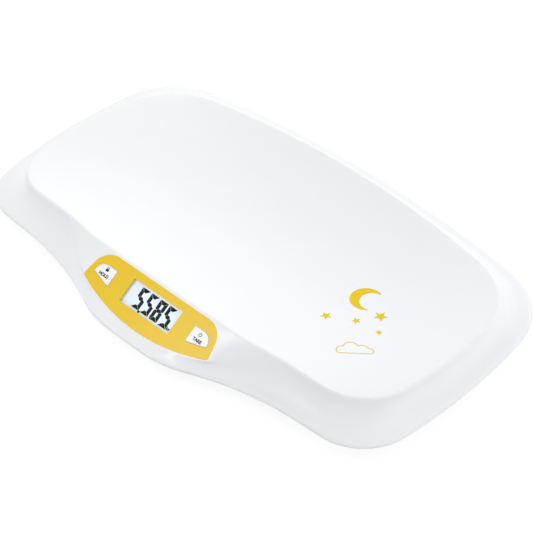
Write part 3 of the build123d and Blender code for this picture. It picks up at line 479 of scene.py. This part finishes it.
def make_tray_shell():
    """One-piece moulding: rim, flared skirt, rounded crest and the weighing hollow."""
    rows = skin_rows()
    columns = rows.shape[1]
    verts = rows.reshape(-1, 3)
    # the deck: the skin lies flat under the display plate and runs out softly around it
    near_height, near_front, flat_to, run_out, hole_edge = 8, -115, 0.6, 3.0, -1.2
    local = verts - DECK_MIDDLE
    height = local @ DECK_OUT
    gap = line_distance(np.column_stack((local[:, 0], local @ DECK_UP)), plate_outline())
    near_deck = (np.abs(height) < near_height) & (verts[:, 1] < near_front)
    pull = np.clip((flat_to + run_out - gap) / run_out, 0, 1)
    pull = np.where(near_deck, pull * pull * (3 - 2 * pull), 0)
    verts = verts + (pull * (-DECK_SINK - height))[:, None] * DECK_OUT
    verts = soften_beside_deck(verts.reshape(rows.shape), gap.reshape(rows.shape[:2])).reshape(-1, 3)
    verts[:, 1] = np.minimum(verts[:, 1], REAR_EDGE)
    verts = np.vstack((verts, (0.0, TRAY_MIDDLE, tray_height(0.0, TRAY_MIDDLE))))
    hole = near_deck & (gap < hole_edge)
    faces = []
    for r in range(len(rows) - 1):
        for c in range(columns):
            d = (c + 1) % columns
            face = (r * columns + c, r * columns + d, (r + 1) * columns + d, (r + 1) * columns + c)
            if not all(hole[v] for v in face):
                faces.append(face)
    last = (len(rows) - 1) * columns
    faces += [(last + c, last + (c + 1) % columns, len(verts) - 1) for c in range(columns)]
    piece = plain_mesh("tray_shell_moulding", verts, faces, shell_gloss)
    thicken = piece.modifiers.new("wall", "SOLIDIFY")
    thicken.thickness = WALL * MM
    thicken.offset = -1.0
    thicken.use_rim = True
    solid = finished_mesh(piece)
    piece.modifiers.remove(thicken)
    piece.data = solid
    solid.set_sharp_from_angle(angle=math.radians(45))
    return join_model(piece, "scale_body", "shell_white", "tray_shell")


make_tray_shell()

# -------------------------------- display reading
GLASS_FACE, SEGMENT_DEPTH = -3.6, 0.05
DIGIT_W, DIGIT_H, STROKE, SEG_GAP = 10.8, 22.6, 4.0, 0.15
FIRST_DIGIT, DIGIT_PITCH, DIGIT_BASE = -21.8, 12.8, -11.2
POINT_X, POINT_Y, POINT_RADIUS = -10.0, -11.8, 1.5
READING, SEGMENTS = "5585", {"5": "afgcd", "8": "abcdefg"}
LETTER_SWELL, LETTER_DEPTH, LETTER_LIFT = 0.22, 0.02, 0.03


def on_deck(x, y, out):
    """A place on the deck, in mm."""
    return DECK_MIDDLE + np.array((x, 0.0, 0.0)) + y * DECK_UP + out * DECK_OUT


def deck_prisms(name, shapes, out, thickness, material, slot, body="scale_body"):
    """Thin flat shapes that lie on the deck's slope: convex outlines only."""
    verts, faces = [], []
    for shape in shapes:
        base, n = len(verts), len(shape)
        verts += [on_deck(x, y, out) for x, y in shape] + [on_deck(x, y, out + thickness) for x, y in shape]
        faces += [tuple(base + n + i for i in range(n)), tuple(base + n - 1 - i for i in range(n))]
        faces += [(base + i, base + (i + 1) % n, base + n + (i + 1) % n, base + n + i) for i in range(n)]
    return join_model(plain_mesh(name, verts, faces, material, smooth=False), body, slot)


def segment_shape(letter, x, y):
    """One bar of a seven-segment figure whose lower left corner is at x, y."""
    w, h, s, g = DIGIT_W, DIGIT_H, STROKE, SEG_GAP
    mid, k = h / 2, s / 2
    if letter == "a":
        pts = [(g, h), (s + g, h - s), (w - s - g, h - s), (w - g, h)]
    elif letter == "d":
        pts = [(g, 0), (w - g, 0), (w - s - g, s), (s + g, s)]
    elif letter == "g":
        pts = [(k + g, mid), (s + g, mid - k), (w - s - g, mid - k), (w - k - g, mid), (w - s - g, mid + k),
               (s + g, mid + k)]
    else:
        if letter in "fb":
            low, high = mid + g / 2, h - g
            pts = [(0, high), (0, low + k * 0.5), (k, low), (s, low + k), (s, high - s)]
        else:
            low, high = g, mid - g / 2
            pts = [(0, low), (s, low + s), (s, high - k), (k, high), (0, high - k * 0.5)]
        if letter in "bc":
            pts = [(w - px, py) for px, py in pts][::-1]
    area = sum(a[0] * b[1] - b[0] * a[1] for a, b in zip(pts, pts[1:] + pts[:1]))
    pts = pts if area > 0 else pts[::-1]
    return [(x + px, y + py) for px, py in pts]


def words_on_deck(name, text, size, x, y, out, material, slot, body):
    """Printed letters on the deck's slope, centred at x, y."""
    curve = bpy.data.curves.new(name, "FONT")
    curve.body = text
    curve.size = size * MM
    curve.align_x = "CENTER"
    curve.align_y = "CENTER"
    curve.offset = LETTER_SWELL * MM
    curve.extrude = LETTER_DEPTH * MM
    lettering = into_scene(name, curve)
    mesh = finished_mesh(lettering)
    bpy.data.objects.remove(lettering)
    mesh.transform(Matrix.Translation(Vector(on_deck(x, y, out) * MM)) @ Matrix.Rotation(DECK_TILT, 4, "X"))
    mesh.materials.clear()
    mesh.materials.append(material)
    return join_model(into_scene(name, mesh), body, slot)


bars = [segment_shape(letter, FIRST_DIGIT + DIGIT_PITCH * i, DIGIT_BASE)
        for i, figure in enumerate(READING) for letter in SEGMENTS[figure]]
bars.append([(POINT_X + POINT_RADIUS * math.cos(a), POINT_Y + POINT_RADIUS * math.sin(a))
             for a in np.arange(12) * math.pi / 6])
deck_prisms("lcd_figures", bars, GLASS_FACE, SEGMENT_DEPTH, segment_dark, "lcd_glass")
words_on_deck("lcd_unit", "kg", 4.8, 29.9, -9.2, GLASS_FACE + LETTER_LIFT, segment_dark, "lcd_glass",
              "scale_body")

# -------------------------------- signs on the keys
KEY_FACE, WORD_SIZE, SIGN_DEPTH = 0.6, 4.7, 0.04
for name, text, x, y, body in (("hold_word", "HOLD", -67.2, -1.6, "hold_key"),
                               ("tare_word", "TARE", 67.2, -2.0, "tare_key")):
    words_on_deck(name, text, WORD_SIZE, x, y, KEY_FACE + LETTER_LIFT, grey_ink, "key_white", body)


def ring_shapes(x, y, inner, outer, start, end, count):
    """An arc-shaped band as short convex pieces."""
    angles = np.radians(np.linspace(start, end, count + 1))
    return [[(x + r * math.cos(t), y + r * math.sin(t))
             for r, t in ((inner, a), (outer, a), (outer, b), (inner, b))]
            for a, b in zip(angles, angles[1:])]


def bar_shape(x, y, left, low, right, high):
    """An upright rectangle, by its edges from x, y."""
    return [(x + left, y + low), (x + right, y + low), (x + right, y + high), (x + left, y + high)]


# Padlock: a body, a round shackle and its two straight ends. Power sign: an open ring and a bar.
lock_x, lock_y = -66.8, 4.6
lock = [bar_shape(lock_x, lock_y, -1.9, -1.5, 1.9, 1.2)]
lock += ring_shapes(lock_x, lock_y + 1.7, 0.75, 1.35, 0, 180, 8)
lock += [bar_shape(lock_x + s, lock_y, -0.3, 1.2, 0.3, 1.7) for s in (-1.05, 1.05)]
deck_prisms("lock_sign", lock, KEY_FACE, SIGN_DEPTH, grey_ink, "key_white", "hold_key")
power_x, power_y = 66.8, 4.4
power = ring_shapes(power_x, power_y, 1.35, 2.0, 122, 418, 18)
power += [bar_shape(power_x, power_y, -0.32, 0.2, 0.32, 2.5)]
deck_prisms("power_sign", power, KEY_FACE, SIGN_DEPTH, grey_ink, "key_white", "tare_key")

# -------------------------------- printed motifs on the tray
PRINT_LIFT, PRINT_CELL, CLOUD_LINE = 0.06, 1.6, 1.1
# Each motif's x, y, size and turn in degrees; the cloud has one size.
MOON = (143, 18, 17, 12)
STARS = ((171, 8, 7.5, 100), (158, -14, 5.0, 80), (186, -12, 4.0, 95), (132, -30, 6.0, 88))
CLOUD = (187, -50, 43)
CLOUD_PUFFS = ((-11.0, -0.5, 6.4), (-3.0, 4.5, 7.6), (8.0, 1.0, 6.8), (14.5, -1.0, 4.6), (-1.0, -1.0, 6.4))
CLOUD_BASE = -4.6


def smooth_loop(points, count):
    """Closed smooth loop through a few points."""
    pts = np.array(points, float)
    out = []
    n = len(pts)
    for i in range(n):
        p0, p1, p2, p3 = pts[i - 1], pts[i], pts[(i + 1) % n], pts[(i + 2) % n]
        for t in np.arange(count) / count:
            out.append(0.5 * (2 * p1 + (p2 - p0) * t + (2 * p0 - 5 * p1 + 4 * p2 - p3) * t**2
                              + (3 * p1 - p0 - 3 * p2 + p3) * t**3))
    return np.array(out)


def turned_to(points, x, y, turn_by):
    """Points turned about their origin and moved to x, y."""
    c, s = math.cos(math.radians(turn_by)), math.sin(math.radians(turn_by))
    return np.array([(x + px * c - py * s, y + px * s + py * c) for px, py in points])


def star(x, y, size, turn_by):
    """Five-pointed star with softened tips."""
    pts = []
    for i in range(10):
        r = size if i % 2 == 0 else size * 0.5
        a = math.radians(turn_by + 36 * i)
        pts.append((x + r * math.cos(a), y + r * math.sin(a)))
    return smooth_loop(pts, 4)


def crescent(x, y, size, turn_by):
    """Crescent moon between two arcs: the inner circle is smaller and stands off the middle."""
    shift, bite = 0.42 * size, 0.78 * size
    outer = [(size * math.cos(a), size * math.sin(a)) for a in np.radians(np.linspace(55, 305, 40))]
    inner = [(shift + bite * math.cos(a), bite * math.sin(a)) for a in np.radians(np.linspace(282, 78, 34))]
    return turned_to(outer + inner, x, y, turn_by)


def cloud_outline(x, y, turn_by):
    """Scalloped outline of a cloud: a few puffs over a flat base, as far out as any puff reaches."""
    points = []
    for a in np.radians(np.arange(0, 360, 2.0)):
        way, reach = np.array((math.cos(a), math.sin(a))), 1.0
        for px, py, r in CLOUD_PUFFS:
            along = way @ (px, py)
            inside = r * r - (px * px + py * py - along**2)
            if inside > 0:
                reach = max(reach, along + math.sqrt(inside))
        if way[1] * reach < CLOUD_BASE:
            reach = CLOUD_BASE / way[1]
        points.append(way * reach)
    return turned_to(points, x, y, turn_by)


def print_on_tray(name, loops):
    """Flat inked shapes that follow the weighing surface."""
    verts, faces = [], []
    for loop in loops:
        low, high = loop.min(0), loop.max(0)
        xs, ys = (np.arange(low[i] + PRINT_CELL / 2, high[i], PRINT_CELL) for i in (0, 1))
        grid = np.array([(x, y) for x in xs for y in ys])
        grid = grid[line_distance(grid, loop) < -PRINT_CELL / 3]
        points = [Vector(p) for p in (*loop, *grid)]
        edges = [(i, (i + 1) % len(loop)) for i in range(len(loop))]
        places, _, triangles = delaunay_2d_cdt(points, edges, [list(range(len(loop)))], 1, 1e-6)[:3]
        base = len(verts)
        verts += [(p[0], p[1], tray_height(p[0], p[1]) + PRINT_LIFT) for p in places]
        for triangle in triangles:
            a, b, c = (places[i] for i in triangle[:3])
            up = (b - a).cross(c - a) > 0
            faces.append(tuple(base + i for i in (triangle if up else triangle[::-1])))
    return join_model(plain_mesh(name, verts, faces, yellow_ink), "scale_body", "bezel_yellow")


def line_print(name, line, width):
    """A closed inked line of even width on the weighing surface."""
    way = np.roll(line, -1, axis=0) - np.roll(line, 1, axis=0)
    way /= np.linalg.norm(way, axis=1)[:, None]
    side = np.column_stack((way[:, 1], -way[:, 0])) * width / 2
    flat = np.vstack((line + side, line - side))
    n = len(line)
    faces = [(i, (i + 1) % n, n + (i + 1) % n, n + i) for i in range(n)]
    verts = np.column_stack((flat, tray_height(flat[:, 0], flat[:, 1]) + PRINT_LIFT))
    return join_model(plain_mesh(name, verts, faces, yellow_ink), "scale_body", "bezel_yellow")


print_on_tray("moon_print", [crescent(*MOON)])
print_on_tray("star_prints", [star(*each) for each in STARS])
line_print("cloud_print", cloud_outline(*CLOUD), CLOUD_LINE)


# -------------------------------- screws and the door's grip
SCREW_LENGTHS = ("Head Radius", "Head Height", "Shank Radius", "Shank Length", "Thread Pitch")
GRIP_LENGTHS = ("Pitch", "Length", "Width", "Height")
HEAD_SIDES, SHANK_SIDES, SHARP_EDGE = 28, 20, math.radians(30)


def tree_inputs(tree, sockets):
    tree.interface.new_socket("Geometry", in_out="INPUT", socket_type="NodeSocketGeometry")
    tree.interface.new_socket("Geometry", in_out="OUTPUT", socket_type="NodeSocketGeometry")
    return {name: tree.interface.new_socket(name, in_out="INPUT", socket_type=kind).identifier
            for name, kind in sockets.items()}


def end_tree(tree, instances, finish):
    """Makes the instances real and gives them their finish, which is all that the tree hands over."""
    real = add_node(tree, "GeometryNodeRealizeInstances", Geometry=instances.outputs[0])
    finished = add_node(tree, "GeometryNodeSetMaterial", Geometry=real.outputs[0], Material=finish)
    add_node(tree, "NodeGroupOutput", i0=finished.outputs[0])


def screw_tree():
    """Cross-recessed pan-head screw on every point; its head's face is at the point, looking along -Z."""
    tree = bpy.data.node_groups.new("cross_recess_screw", "GeometryNodeTree")
    keys = tree_inputs(tree, {**dict.fromkeys(SCREW_LENGTHS, "NodeSocketFloat"), "Lean": "NodeSocketVector",
                              "Finish": "NodeSocketMaterial"})
    given = add_node(tree, "NodeGroupInput").outputs
    # sizes that follow from the given ones: what each is worked out from, and by how much
    size = {name: given[name] for name in SCREW_LENGTHS}
    for name, how, first, second in (
            ("Crown Height", "MULTIPLY", "Head Height", 0.35),
            ("Drum Height", "MULTIPLY", "Head Height", 0.65),
            ("Face Radius", "MULTIPLY", "Head Radius", 0.72),
            ("Slot Length", "MULTIPLY", "Head Radius", 1.1),
            ("Slot Width", "MULTIPLY", "Head Radius", 0.28),
            ("Core Radius", "MULTIPLY", "Shank Radius", 0.78),
            ("Tip Radius", "MULTIPLY", "Core Radius", 0.85),
            ("Lower Root", "MULTIPLY", "Core Radius", 0.9),
            ("Upper Root", "MULTIPLY", "Core Radius", 0.8),
            ("First Ridge", "MULTIPLY", "Thread Pitch", 0.5),
            ("Half Ridge", "MULTIPLY", "Thread Pitch", 0.3),
            ("Pitches", "DIVIDE", "Shank Length", "Thread Pitch"),
            ("Pitches Less One", "SUBTRACT", "Pitches", 1.0),
            ("Ridges", "FLOOR", "Pitches Less One", 0.0)):
        size[name] = add_node(tree, "ShaderNodeMath", {"operation": how}, i0=size[first],
                              i1=size.get(second, second)).outputs[0]
    up = {name: add_node(tree, "ShaderNodeCombineXYZ", Z=size[name]).outputs[0]
          for name in ("Crown Height", "Head Height", "First Ridge", "Thread Pitch", "Half Ridge")}
    # round solids: sides, radius at the start and at the end, and length
    dome, drum, shank, flank, back_flank = (
        add_node(tree, "GeometryNodeMeshCone", {"fill_type": "NGON"}, Vertices=sides,
                 Radius_Bottom=size[start], Radius_Top=size[end], Depth=size[length]).outputs["Mesh"]
        for sides, start, end, length in (
            (HEAD_SIDES, "Face Radius", "Head Radius", "Crown Height"),
            (HEAD_SIDES, "Head Radius", "Head Radius", "Drum Height"),
            (SHANK_SIDES, "Core Radius", "Tip Radius", "Shank Length"),
            (SHANK_SIDES, "Lower Root", "Shank Radius", "Half Ridge"),
            (SHANK_SIDES, "Shank Radius", "Upper Root", "Half Ridge")))
    drum = add_node(tree, "GeometryNodeTransform", Geometry=drum, Translation=up["Crown Height"]).outputs[0]
    head = add_node(tree, "GeometryNodeMeshBoolean", {"operation": "UNION", "solver": "EXACT"},
                    Mesh_2=[dome, drum]).outputs["Mesh"]
    slots = []
    for along_x, along_y in (("Slot Length", "Slot Width"), ("Slot Width", "Slot Length")):
        bar = add_node(tree, "ShaderNodeCombineXYZ", X=size[along_x], Y=size[along_y], Z=size["Head Height"])
        slots.append(add_node(tree, "GeometryNodeMeshCube", Size=bar.outputs[0]).outputs["Mesh"])
    head = add_node(tree, "GeometryNodeMeshBoolean", {"operation": "DIFFERENCE", "solver": "EXACT"},
                    Mesh_1=head, Mesh_2=slots).outputs["Mesh"]
    # the thread: one ridge of two flanks, repeated up the shank
    back_flank = add_node(tree, "GeometryNodeTransform", Geometry=back_flank,
                          Translation=up["Half Ridge"]).outputs[0]
    ridge = add_node(tree, "GeometryNodeJoinGeometry", i0=[flank, back_flank])
    line = add_node(tree, "GeometryNodeMeshLine", {"mode": "OFFSET"}, Count=size["Ridges"],
                    Start_Location=up["First Ridge"], Offset=up["Thread Pitch"]).outputs["Mesh"]
    thread = add_node(tree, "GeometryNodeInstanceOnPoints", Points=line, Instance=ridge.outputs[0])
    body = add_node(tree, "GeometryNodeJoinGeometry", i0=[shank, thread.outputs[0]])
    body = add_node(tree, "GeometryNodeTransform", Geometry=body.outputs[0], Translation=up["Head Height"])
    whole = add_node(tree, "GeometryNodeJoinGeometry", i0=[head, body.outputs[0]])
    lean = add_node(tree, "FunctionNodeEulerToRotation", Euler=given["Lean"])
    spread = add_node(tree, "GeometryNodeInstanceOnPoints", Points=given["Geometry"],
                      Instance=whole.outputs[0], Rotation=lean.outputs[0])
    end_tree(tree, spread, given["Finish"])
    return tree, keys


def grip_tree():
    """Short raised bars in a row along X, a little narrower on top, for a thumb."""
    tree = bpy.data.node_groups.new("thumb_grip_bars", "GeometryNodeTree")
    keys = tree_inputs(tree, {"Bars": "NodeSocketInt", **dict.fromkeys(GRIP_LENGTHS, "NodeSocketFloat"),
                              "Finish": "NodeSocketMaterial"})
    given = add_node(tree, "NodeGroupInput").outputs
    step = add_node(tree, "ShaderNodeCombineXYZ", X=given["Pitch"])
    line = add_node(tree, "GeometryNodeMeshLine", {"mode": "OFFSET"}, Count=given["Bars"],
                    Offset=step.outputs[0]).outputs["Mesh"]
    row = add_node(tree, "GeometryNodeInstanceOnPoints", Points=given["Geometry"], Instance=line)
    places = add_node(tree, "GeometryNodeRealizeInstances", Geometry=row.outputs[0])
    size = add_node(tree, "ShaderNodeCombineXYZ", X=given["Width"], Y=given["Length"], Z=given["Height"])
    bar = add_node(tree, "GeometryNodeMeshCube", Size=size.outputs[0], Vertices_Y=5).outputs["Mesh"]
    spot = add_node(tree, "GeometryNodeInputPosition").outputs[0]
    parts = add_node(tree, "ShaderNodeSeparateXYZ", Vector=spot).outputs
    low = add_node(tree, "FunctionNodeCompare", {"operation": "LESS_THAN"}, A=parts["Z"], B=0.0).outputs[0]
    slim = add_node(tree, "ShaderNodeVectorMath", {"operation": "MULTIPLY"}, i0=spot, i1=(0.55, 0.94, 1.0))
    tapered = add_node(tree, "GeometryNodeSetPosition", Geometry=bar, Selection=low, Position=slim.outputs[0])
    bars = add_node(tree, "GeometryNodeInstanceOnPoints", Points=places.outputs[0],
                    Instance=tapered.outputs[0])
    end_tree(tree, bars, given["Finish"])
    return tree, keys


def grown_piece(name, made_tree, points, values, body, slot, *stands_for):
    """Runs a geometry tree on a few points and keeps its result as a plain mesh."""
    tree, keys = made_tree
    seeds = bpy.data.meshes.new(name)
    seeds.from_pydata([tuple(c * MM for c in p) for p in points], [], [])
    piece = into_scene(name, seeds)
    grow = piece.modifiers.new("shape", "NODES")
    grow.node_group = tree
    for key, value in values.items():
        grow[keys[key]] = value
    mesh = finished_mesh(piece)
    piece.modifiers.remove(grow)
    piece.data = mesh
    mesh.materials.clear()
    mesh.materials.append(values["Finish"])
    mesh.polygons.foreach_set("material_index", [0] * len(mesh.polygons))
    mesh.polygons.foreach_set("use_smooth", [True] * len(mesh.polygons))
    mesh.set_sharp_from_angle(angle=SHARP_EDGE)
    return join_model(piece, body, slot, *stands_for)


def named_sizes(names, *sizes):
    """Inputs of a geometry tree, by their names, from sizes in mm."""
    return {name: size * MM for name, size in zip(names, sizes)}


HOUSING_SCREWS = [(side * x, y, 6.4) for x, y in ((258, 15), (135, -108), (135, 148)) for side in (-1, 1)]
CELL_SCREWS = [(x + side, y, 15.2) for x in (-205, 205) for y in (-85, 115) for side in (-21.2, 21.2)]
BOARD_SCREWS = [on_deck(x, y, -11.8) for x in (-47.5, 47.5) for y in (-16, 16)]
screws = screw_tree()
for name, places, sizes, lean, node in (
        ("housing_screw_set", HOUSING_SCREWS, (3.2, 2.2, 1.5, 14.6, 1.3), 0, "housing_screws"),
        ("load_cell_screw_set", CELL_SCREWS, (2.5, 1.8, 1.15, 5.6, 0.9), math.pi, "load_cell_screws"),
        ("board_screw_set", BOARD_SCREWS, (2.5, 1.6, 1.2, 5.0, 0.9), DECK_TILT, "board_screws")):
    grown_piece(name, screws, places,
                {**named_sizes(SCREW_LENGTHS, *sizes), "Lean": (lean, 0, 0), "Finish": screw_zinc},
                "scale_body", "screw_steel", node)
grown_piece("battery_door_grip", grip_tree(), [(11.0, 60.0, 5.85)],
            {"Bars": 6, **named_sizes(GRIP_LENGTHS, 2.2, 18, 1.2, 0.5), "Finish": base_texture},
            "battery_door", "base_white")

# -------------------------------- finishes of the CAD pieces
# A piece takes the first finish here whose word its name starts with.
finish_by_start = {
    "tray_shell": shell_gloss, "display_bezel": bezel_film, "lcd_window": window_clear, "lcd_glass": lcd_cell,
    "lcd_frame": inner_white, "lcd_connector": connector_rubber, "main_board": board_mask,
    "controller_chip": chip_potting, "lead_header": inner_white, "hold_button": key_satin,
    "tare_button": key_satin, "hold_switch": switch_black, "tare_switch": switch_black,
    "base_shell": base_texture, "battery_door": base_texture, "battery_contacts": contact_nickel,
    "battery_springs": contact_nickel, "battery_": cell_jacket, "board_screws": screw_zinc,
    "housing_screws": screw_zinc, "load_cell_screws": screw_zinc, "load_cell_cover_": inner_white,
    "load_cell_": cell_steel, "foot_pad_": pad_rubber, "foot_": foot_satin,
}
for name, part in nodes.items():
    finish = next(finish for start, finish in finish_by_start.items() if name.startswith(start))
    part.data.materials.clear()
    part.data.materials.append(finish)
nodes["lcd_window"].visible_shadow = False
nodes["lcd_window"].visible_diffuse = False

# -------------------------------- floor, lamps and world
PAPER_REACH, PAPER_GLOW, SKY_LEVEL = 6, 0.74, 0.455


def seen_directly(tree):
    """1 where a ray comes straight, mirrored or refracted from the camera, else 0."""
    rays = add_node(tree, "ShaderNodeLightPath").outputs
    mirrored = add_node(tree, "ShaderNodeMath", {"operation": "MAXIMUM"}, i0=rays["Is Glossy Ray"],
                        i1=rays["Is Transmission Ray"])
    return add_node(tree, "ShaderNodeMath", {"operation": "MAXIMUM"}, i0=rays["Is Camera Ray"],
                    i1=mirrored.outputs[0]).outputs[0]


# Matte white paper: most of its white shows without light, so that only a soft shadow stays. From below,
# and to light that has bounced off a matte surface, it is clear.
floor_mesh = bpy.data.meshes.new("floor")
corners = [(PAPER_REACH * x, PAPER_REACH * y, 0) for x, y in ((-1, -1), (1, -1), (1, 1), (-1, 1))]
floor_mesh.from_pydata(corners, [], [(0, 1, 2, 3)])
floor = into_scene("floor", floor_mesh)
floor_paint, tree, shader, _ = new_finish("matte_white_floor", "#A6A6A6", 0.9, Specular_IOR_Level=0.0,
                                          Emission_Color=(1.0, 1.0, 1.0, 1.0))
glow = add_node(tree, "ShaderNodeMath", {"operation": "MULTIPLY"}, i0=seen_directly(tree), i1=PAPER_GLOW)
fill_inputs(tree, shader, Emission_Strength=glow.outputs[0])
under = add_node(tree, "ShaderNodeNewGeometry").outputs["Backfacing"]
bounced = add_node(tree, "ShaderNodeLightPath").outputs["Is Diffuse Ray"]
open_side = add_node(tree, "ShaderNodeMath", {"operation": "MAXIMUM"}, i0=under, i1=bounced)
clear = add_node(tree, "ShaderNodeBsdfTransparent")
both_sides = add_node(tree, "ShaderNodeMixShader", i0=open_side.outputs[0], i1=shader.outputs[0],
                      i2=clear.outputs[0])
fill_inputs(tree, tree.nodes["Material Output"], Surface=both_sides.outputs[0])
floor_mesh.materials.append(floor_paint)


def soft_lamp(name, place, aim, size, power):
    """A large soft area lamp aimed at a point, sizes in metres."""
    data = bpy.data.lights.new(name, "AREA")
    data.shape = "RECTANGLE"
    data.size, data.size_y = size
    data.energy = power
    lamp = into_scene(name, data)
    lamp.matrix_world = Matrix.Translation(place) @ (
        (Vector(place) - Vector(aim)).to_track_quat("Z", "Y").to_matrix().to_4x4())
    return lamp


# Broad softboxes: two behind, one above, one in front and one at the right; they leave no mirror streaks.
for name, place, size, power in (("rear_left_softbox", (-4.6, 2.4, 2.1), (5.2, 3.2), 116.0),
                                 ("rear_right_softbox", (2.5, 4.6, 2.1), (5.2, 3.2), 116.0),
                                 ("top_softbox", (-0.8, -0.3, 3.0), (3.0, 3.0), 12.0),
                                 ("front_softbox", (-0.1, -2.9, 0.75), (4.0, 1.3), 21.0),
                                 ("right_softbox", (3.2, 0.0, 1.0), (3.0, 1.3), 26.0)):
    soft_lamp(name, place, (0.0, 0.0, 0.0), size, power).visible_glossy = False
# Lamps that give the gloss: one overhead, a wide glow behind the tray, a pale sheen on the display plate.
soft_lamp("overhead_softbox", (-0.3, 0.5, 2.5), (0.0, 0.0, 0.0), (2.6, 2.2), 1.5)
soft_lamp("rear_sheen", (-1.9, 4.6, 1.9), (0.0, 0.0, 0.0), (7.0, 3.2), 24.0)
soft_lamp("console_sheen", (-0.26, -0.50, 0.56), (0.09, -0.14, 0.04), (0.10, 0.32), 0.65)
world = bpy.data.worlds.new("studio")
bpy.context.scene.world = world
world.use_nodes = True
tree = world.node_tree
level = add_node(tree, "ShaderNodeMix", {"data_type": "FLOAT"}, i0=seen_directly(tree), i2=SKY_LEVEL, i3=1.0)
fill_inputs(tree, tree.nodes["Background"], Strength=level.outputs[0], Color=(1.0, 1.0, 1.0, 1.0))
bpy.context.scene.view_settings.view_transform = "Standard"
